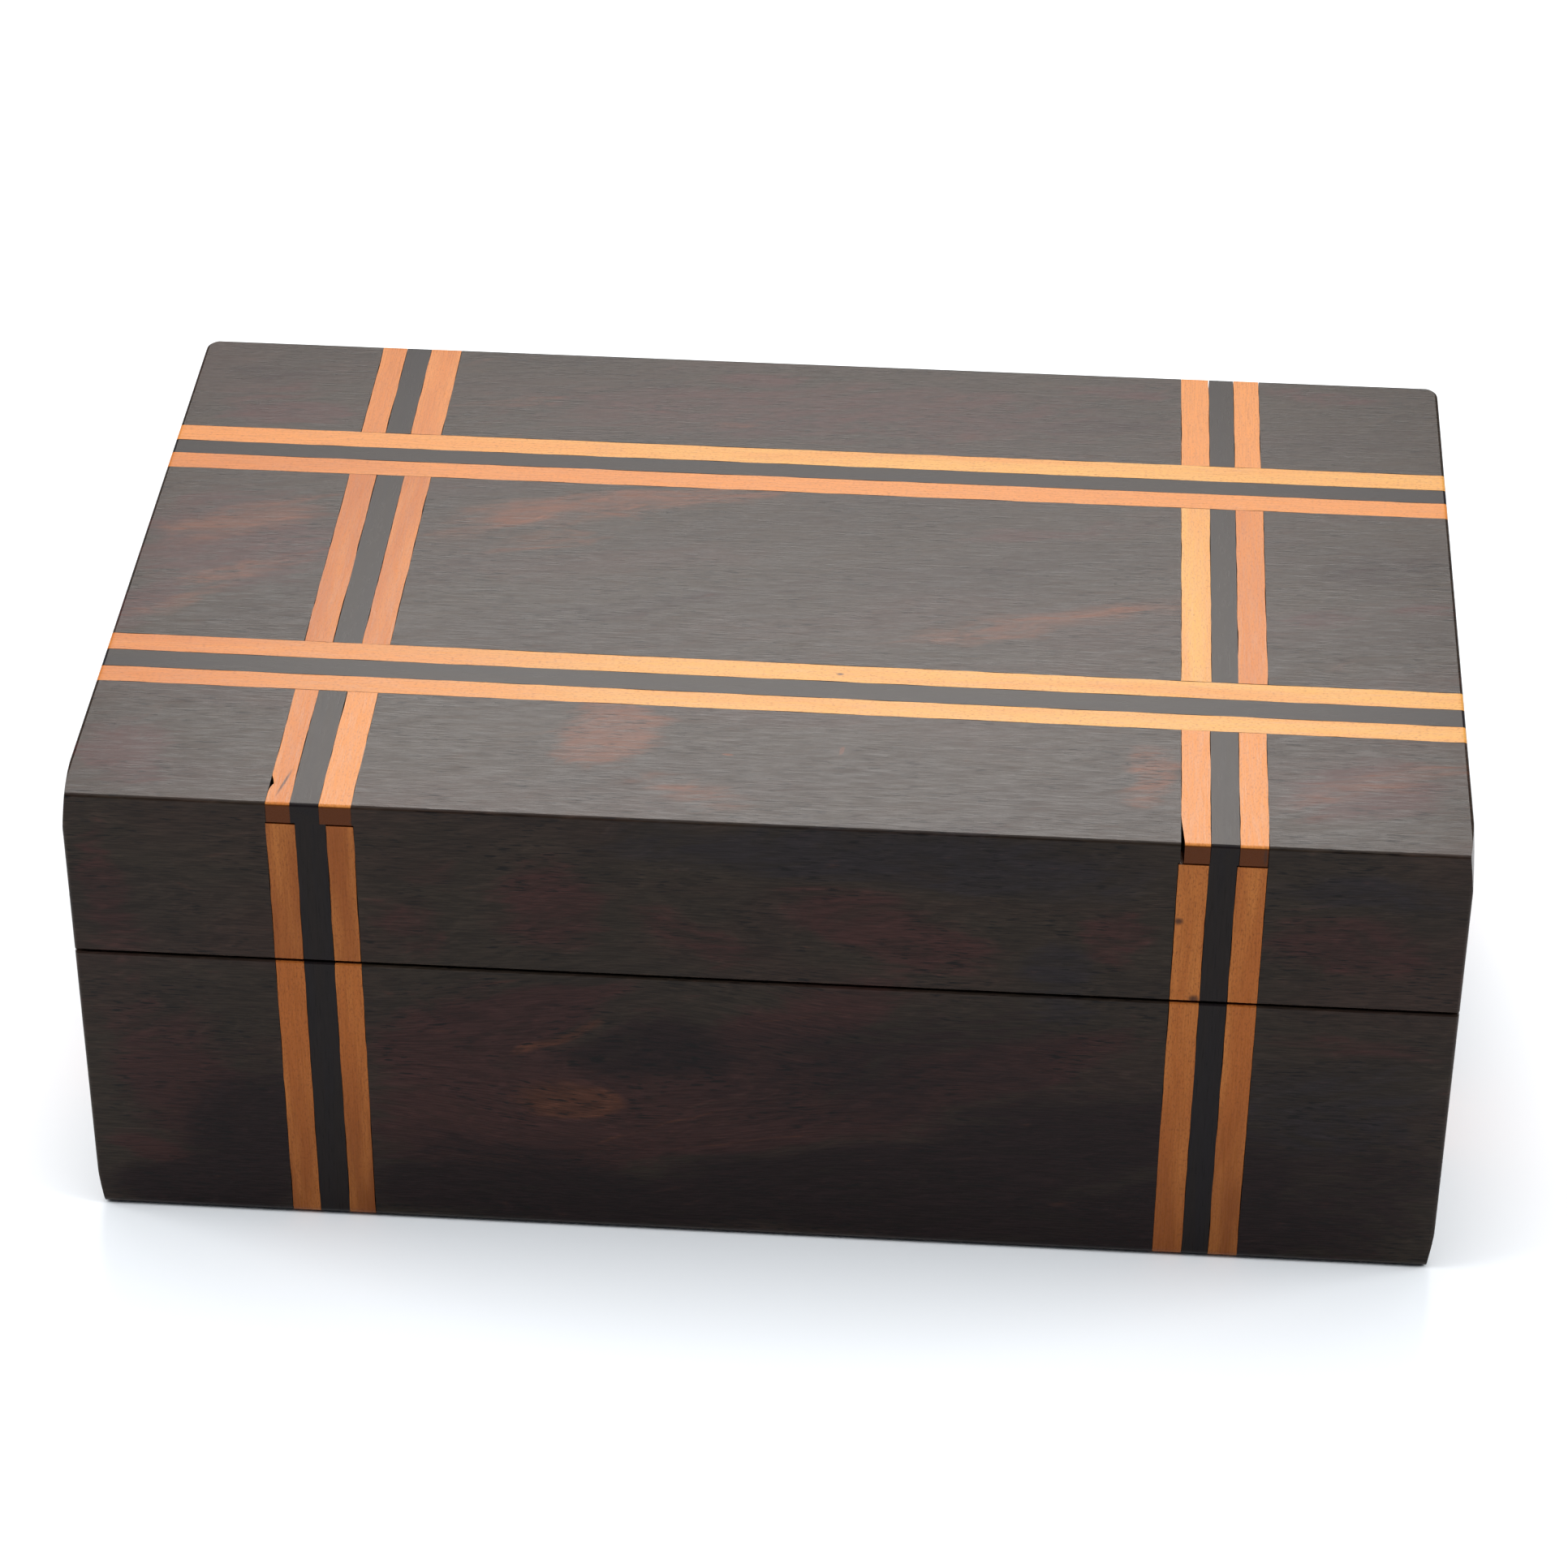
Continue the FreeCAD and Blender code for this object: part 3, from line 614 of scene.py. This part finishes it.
def black_wood(name, inlay, axis):
    """Black strip wood with a tinted sheen, its grain along an axis."""
    finish = Finish(name)
    place = finish.turned(finish.coordinates(), GRAIN_ALONG[axis])
    cloud = finish.grain(place, GRAINS["black_cloud"])
    blue = finish.step(cloud, *STEPS["black_cloud"])
    tone = finish.mix(blue, rgba(inlay.black), rgba(inlay.blue_black))
    fibre = finish.grain(place, GRAINS["black_fibre"])
    tone = finish.scaled(tone, finish.step(fibre, *STEPS["black_fibre"]))
    finish.surface({
        "Base Color": tone,
        "Roughness": finish.dullness(fibre, "black_wood", inlay.roughness),
        "Specular IOR Level": inlay.gloss,
        "Specular Tint": rgba(inlay.sheen),
    })
    finish.bump(fibre, inlay.black_relief)
    return finish.material


def hinge_brass(name, brass):
    """Brass with tarnish and fine scratches along its length."""
    finish = Finish(name)
    place = finish.turned(finish.coordinates(), GRAIN_ALONG[X])
    cloud = finish.grain(place, GRAINS["tarnish"])
    tone = finish.mix(finish.step(cloud, *STEPS["tarnish"]), rgba(brass.brass), rgba(brass.tarnish))
    scratch = finish.grain(place, GRAINS["scratch"])
    dull = finish.math("ADD", finish.dullness(cloud, "brass", brass.roughness),
                       finish.step(scratch, *STEPS["scratch"]))
    finish.surface({"Base Color": tone, "Roughness": dull, "Metallic": 1.0})
    finish.bump(scratch, brass.relief)
    return finish.material


def floor_finish(name, stage):
    """Pale matt floor with a faint mottle."""
    finish = Finish(name)
    cloud = finish.grain(finish.coordinates(), GRAINS["mottle"])
    tone = finish.scaled(tuple(stage.floor), finish.step(cloud, *STEPS["mottle"]))
    finish.surface({
        "Base Color": tone,
        "Roughness": stage.floor_roughness,
        "Specular IOR Level": stage.floor_gloss,
    })
    return finish.material


def dress(node, material):
    """Gives a CAD node its material."""
    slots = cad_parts[node].data.materials
    slots.clear()
    slots.append(material)


# Strips

# Distance under which points join, and how near its end a strip's points are lowered
WELD, END_REACH = 0.001 * MM, 0.01 * MM
# Bends that count as flat and as sharp
FLAT_ANGLE, SHARP_ANGLE = math.radians(0.5), math.radians(30)
# How squarely a face has to look sideways to be a strip's side
SIDE_FACING = 0.9
# How far an edge is drawn in as a share of its wander: on average, by slow swings and by quick ones
EDGE_MIDDLE, SLOW_SWING, QUICK_SWING = 0.45, 0.75, 0.3
# How many times quicker the quick swings are, and the rows of noise that both are read from
QUICK_RATE, SLOW_ROW, QUICK_ROW = 3.1, (7.3, 0.4), (4.9, 2.6)
# Step in the noise from one node's name to another's
SEED_STEP = 1.7

# Open joints beside a strip: side, place along it, reach and width in mm
STRIP_GAPS = {
    "top_right_band_front_inner_light": (-1.0, -51.0, 5.0, 0.34),
    "top_left_band_front_outer_light": (-1.0, -46.9, 1.2, 0.45),
}
NO_GAP = (0.0, 0.0, 1.0, 0.0)


def edge_shift(inlay, place, side):
    """How far a strip's edge is drawn in at a place along it."""
    step = place / inlay.wander_step
    slow = noise.noise(Vector((step, SLOW_ROW[0] * side, SLOW_ROW[1])))
    quick = noise.noise(Vector((QUICK_RATE * step, QUICK_ROW[0] * side, QUICK_ROW[1])))
    drawn_in = EDGE_MIDDLE + SLOW_SWING * slow + QUICK_SWING * quick
    return inlay.edge_wander * min(1.0, max(0.0, drawn_in))


def sections(node, along, low, high, step):
    """A strip's CAD solid, cut across at even steps along it."""
    shape = bmesh.new()
    shape.from_mesh(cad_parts[node].data)
    bmesh.ops.remove_doubles(shape, verts=shape.verts, dist=WELD)
    bmesh.ops.dissolve_limit(shape, angle_limit=FLAT_ANGLE, verts=shape.verts, edges=shape.edges)
    ahead = Vector(unit(along))
    cuts = max(2, round((high - low) / step))
    for cut in range(1, cuts):
        middle = ahead * (low + (high - low) * cut / cuts)
        geometry = [*shape.verts, *shape.edges, *shape.faces]
        bmesh.ops.bisect_plane(shape, geom=geometry, dist=WELD, plane_co=middle, plane_no=ahead)
    shape.normal_update()
    return shape


def draw_in_edges(shape, node, inlay, along, across):
    """Moves a strip's sides in, as hand sawing leaves them, and opens its joints."""
    seed = SEED_STEP * sum(ord(letter) for letter in node)
    gap_side, gap_place, gap_reach, gap_width = STRIP_GAPS.get(node, NO_GAP)
    for vertex in shape.verts:
        slants = [face.normal[across] for face in vertex.link_faces]
        sides = [slant for slant in slants if abs(slant) > SIDE_FACING]
        if sides:
            side = math.copysign(1.0, sides[0])
            shift = edge_shift(inlay, vertex.co[along] + seed, side + seed)
            if side == gap_side:
                away = abs(vertex.co[along] / MM - gap_place) / gap_reach
                shift += gap_width * MM * max(0.0, 1.0 - away)
            vertex.co[across] -= side * shift


def light_strip(node, body, inlay, material, along, across, top_gap=0.0):
    """A light strip cut from its CAD solid, with edges that wander as a hand-sawn strip's do."""
    low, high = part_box(node)
    shape = sections(node, along, low[along], high[along], inlay.cut_step)
    draw_in_edges(shape, node, inlay, along, across)
    for vertex in shape.verts:
        if vertex.co[along] > high[along] - END_REACH:
            vertex.co[along] -= top_gap
    mesh = bpy.data.meshes.new(node + "_strip")
    shape.to_mesh(mesh)
    shape.free()
    mesh.shade_smooth()
    mesh.set_sharp_from_angle(angle=SHARP_ANGLE)
    mesh.materials.append(material)
    piece = bpy.data.objects.new(node + "_strip", mesh)
    bpy.context.scene.collection.objects.link(piece)
    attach(piece, body)
    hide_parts(node)


# Stage

# Lights: place and size in metres, tint, and the setting that holds the power
LIGHTS = {
    "back_light": ((-0.15, 2.451, 2.057), (1.25, 0.673), (1.0, 0.955, 0.925), "back_power"),
    "top_light": ((0.0, 0.1, 2.5), (2.5, 2.5), (0.96, 0.98, 1.0), "top_power"),
    "left_light": ((-2.3, -0.05, 1.5), (1.8, 1.6), (0.94, 0.97, 1.0), "side_power"),
    "right_light": ((2.3, -0.05, 1.5), (1.8, 1.6), (0.94, 0.97, 1.0), "side_power"),
}
FLOOR_SIDES = 64
# Width of the camera's frame in mm, and the nearest distance that it sees in metres
FRAME_WIDTH, NEAR_CLIP = 36.0, 0.01


def lay_floor(scene, stage):
    """The round floor under the box."""
    shape = bmesh.new()
    bmesh.ops.create_circle(shape, cap_ends=True, segments=FLOOR_SIDES, radius=stage.floor_radius)
    mesh = bpy.data.meshes.new("floor")
    shape.to_mesh(mesh)
    shape.free()
    mesh.materials.append(floor_finish("pale_floor", stage))
    floor = bpy.data.objects.new("floor", mesh)
    scene.collection.objects.link(floor)


def softbox(scene, name, place, size, tint, energy):
    """An area light that faces the box."""
    light = bpy.data.lights.new(name, "AREA")
    light.shape = "RECTANGLE"
    light.size, light.size_y = size
    light.energy = energy
    light.color = tint
    lamp = bpy.data.objects.new(name, light)
    lamp.location = place
    lamp.rotation_euler = (-Vector(place)).to_track_quat("-Z", "Y").to_euler()
    lamp.visible_camera = False
    scene.collection.objects.link(lamp)


def light_all_round(scene, stage):
    """The weak light that comes from every side."""
    world = bpy.data.worlds.new("soft_sky")
    world.use_nodes = True
    sky = world.node_tree.nodes["Background"]
    sky.inputs["Color"].default_value = rgba(stage.sky)
    sky.inputs["Strength"].default_value = stage.sky_strength
    scene.world = world


def set_camera(scene, stage):
    """The camera at the photograph's angle."""
    camera = bpy.data.cameras.new("camera")
    camera.lens = stage.lens
    camera.sensor_width = FRAME_WIDTH
    camera.clip_start = NEAR_CLIP
    viewer = bpy.data.objects.new("camera", camera)
    viewer.location = stage.camera_place
    viewer.rotation_euler = stage.camera_turn
    scene.collection.objects.link(viewer)
    scene.camera = viewer
    scene.view_settings.view_transform = "Standard"


# Operators

class INLAIDBOX_OT_boards(bpy.types.Operator):
    """Give the boards of the lid and base their dark figured wood"""

    bl_idname = "inlaid_box.boards"
    bl_label = "Boards"

    def execute(self, context):
        wood = context.scene.dark_wood
        plain = dark_wood("plain_dark_wood", wood)
        across = dark_wood("end_dark_wood", wood, turn=GRAIN_ALONG[Y])
        for node in ("top_panel", "lid_front_rail", "base_front_wall"):
            dress(node, dark_wood(f"{node}_figured_wood", wood, wild=PATCHED_WILD, board=node))
        for node in ("lid_back_rail", "base_back_wall", "bottom_panel"):
            dress(node, plain)
        for side in SIDES:
            dress(f"lid_{side}_rail", across)
            dress(f"base_{side}_wall", across)
        return {"FINISHED"}


# Tint of each long strip towards its left end and over the rest
LONG_TINTS = {
    "front_inner_light": ("amber", "honey"),
    "front_outer_light": ("amber", "honey"),
    "back_inner_light": ("amber", "apricot"),
    "back_outer_light": ("apricot", "honey"),
}


class INLAIDBOX_OT_long_bands(bpy.types.Operator):
    """Lay the two bands that run the length of the top"""

    bl_idname = "inlaid_box.long_bands"
    bl_label = "Long bands"

    def execute(self, context):
        inlay = context.scene.inlay
        black = black_wood("long_black_wood", inlay, X)
        for band in ("front", "back"):
            dress(f"top_{band}_band_dark", black)
            for strip in LIGHT_STRIPS:
                low_tint, tint = LONG_TINTS[f"{band}_{strip}"]
                wood = light_wood(f"long_{band}_{strip}_wood", inlay, tint, X, Y, low_tint)
                light_strip(f"top_{band}_band_{strip}", "lid", inlay, wood, X, Y)
        return {"FINISHED"}


# Tints of the inner and outer strip of each length of a cross band
CROSS_TINTS = {
    "left": {
        "front": ("apricot", "amber"),
        "middle": ("tan", "tan"),
        "back": ("amber", "amber"),
    },
    "right": {
        "front": ("apricot", "apricot"),
        "middle": ("honey", "amber"),
        "back": ("apricot", "apricot"),
    },
}


class INLAIDBOX_OT_cross_bands(bpy.types.Operator):
    """Lay the short lengths of the two bands that cross the top"""

    bl_idname = "inlaid_box.cross_bands"
    bl_label = "Cross bands"

    def execute(self, context):
        inlay = context.scene.inlay
        black = black_wood("cross_black_wood", inlay, Y)
        for side in SIDES:
            for part, tints in CROSS_TINTS[side].items():
                dress(f"top_{side}_band_{part}_dark", black)
                for strip, tint in zip(LIGHT_STRIPS, tints):
                    wood = light_wood(f"cross_{side}_{part}_{strip}_wood", inlay, tint, Y, X)
                    light_strip(f"top_{side}_band_{part}_{strip}", "lid", inlay, wood, Y, X)
        return {"FINISHED"}


# Tints of the inner and outer strip of each upright band on the front
FRONT_TINTS = {
    "lid": {"left": ("chestnut", "chestnut"), "right": ("tan", "tan")},
    "base": {"left": ("tan", "tan"), "right": ("tan", "tan")},
}
# Darker tints of the same strips towards the bottom of the box: painted shade
FOOT_SHADE_TINTS = {"left": ("umber", "chestnut"), "right": ("chestnut", "umber")}


class INLAIDBOX_OT_front_bands(bpy.types.Operator):
    """Lay the upright bands on the front of the lid and base"""

    bl_idname = "inlaid_box.front_bands"
    bl_label = "Front bands"

    def execute(self, context):
        inlay = context.scene.inlay
        black = black_wood("front_black_wood", inlay, Z)
        for part in PARTS:
            gap = inlay.glue_gap if part == "lid" else 0.0
            for side in SIDES:
                dress(f"{part}_front_{side}_band_dark", black)
                # Each strip darkens towards the bottom of the box with painted shade
                for strip, tint, shaded_foot_tint in zip(LIGHT_STRIPS, FRONT_TINTS[part][side], FOOT_SHADE_TINTS[side]):
                    wood = light_wood(f"front_{part}_{side}_{strip}_wood", inlay, tint, Z, X, shaded_foot_tint)
                    light_strip(f"{part}_front_{side}_band_{strip}", part, inlay, wood, Z, X, gap)
        return {"FINISHED"}


class INLAIDBOX_OT_back_and_end_bands(bpy.types.Operator):
    """Lay the upright bands on the back and the two ends"""

    bl_idname = "inlaid_box.back_and_end_bands"
    bl_label = "Back and end bands"

    def execute(self, context):
        inlay = context.scene.inlay
        black = black_wood("back_and_end_black_wood", inlay, Z)
        for part in PARTS:
            gap = inlay.glue_gap if part == "lid" else 0.0
            dress(f"{part}_back_and_end_dark_strips", black)
            for face, across in (("back", X), ("end", Y)):
                wood = light_wood(f"{part}_{face}_light_wood", inlay, "amber", Z, across)
                light_strip(f"{part}_{face}_light_strips", part, inlay, wood, Z, across, gap)
        return {"FINISHED"}


class INLAIDBOX_OT_hinges(bpy.types.Operator):
    """Give the hinges and their screws tarnished brass"""

    bl_idname = "inlaid_box.hinges"
    bl_label = "Hinges"

    def execute(self, context):
        brass = hinge_brass("tarnished_brass", context.scene.brass)
        for side in SIDES:
            for piece in ("base_leaf", "lid_leaf", "pin"):
                dress(f"{side}_hinge_{piece}", brass)
        for part in PARTS:
            dress(f"{part}_hinge_screws", brass)
        return {"FINISHED"}


class INLAIDBOX_OT_stage(bpy.types.Operator):
    """Set up the camera, the lights and the floor"""

    bl_idname = "inlaid_box.stage"
    bl_label = "Stage"

    def execute(self, context):
        scene = context.scene
        stage = scene.stage
        lay_floor(scene, stage)
        for name, (place, size, tint, setting) in LIGHTS.items():
            softbox(scene, name, place, size, tint, getattr(stage, setting))
        light_all_round(scene, stage)
        set_camera(scene, stage)
        return {"FINISHED"}


OPERATORS = (
    INLAIDBOX_OT_boards,
    INLAIDBOX_OT_long_bands,
    INLAIDBOX_OT_cross_bands,
    INLAIDBOX_OT_front_bands,
    INLAIDBOX_OT_back_and_end_bands,
    INLAIDBOX_OT_hinges,
    INLAIDBOX_OT_stage,
)
SETTINGS = {
    "dark_wood": DarkWoodSettings,
    "inlay": InlaySettings,
    "brass": BrassSettings,
    "stage": StageSettings,
}


class INLAIDBOX_PT_sidebar(bpy.types.Panel):
    """Lists the box's pieces and their settings"""

    bl_idname = "INLAIDBOX_PT_sidebar"
    bl_label = "Inlaid Box"
    bl_space_type = "VIEW_3D"
    bl_region_type = "UI"
    bl_category = "Inlaid Box"

    def draw(self, context):
        for operator in OPERATORS:
            self.layout.operator(operator.bl_idname)
        for name, group in SETTINGS.items():
            box = self.layout.box()
            box.label(text=name.replace("_", " ").capitalize())
            for key in group.__annotations__:
                box.prop(getattr(context.scene, name), key)


def register():
    """Adds the settings, the operators and the panel."""
    for name, group in SETTINGS.items():
        bpy.utils.register_class(group)
        setattr(bpy.types.Scene, name, PointerProperty(type=group))
    for operator in OPERATORS:
        bpy.utils.register_class(operator)
    bpy.utils.register_class(INLAIDBOX_PT_sidebar)


def unregister():
    """Takes the panel, the operators and the settings away."""
    bpy.utils.unregister_class(INLAIDBOX_PT_sidebar)
    for operator in reversed(OPERATORS):
        bpy.utils.unregister_class(operator)
    for name, group in reversed(SETTINGS.items()):
        delattr(bpy.types.Scene, name)
        bpy.utils.unregister_class(group)


def main():
    """Finishes the box."""
    register()
    for operator in OPERATORS:
        group, name = operator.bl_idname.split(".")
        getattr(getattr(bpy.ops, group), name)()


if __name__ == "__main__":
    main()
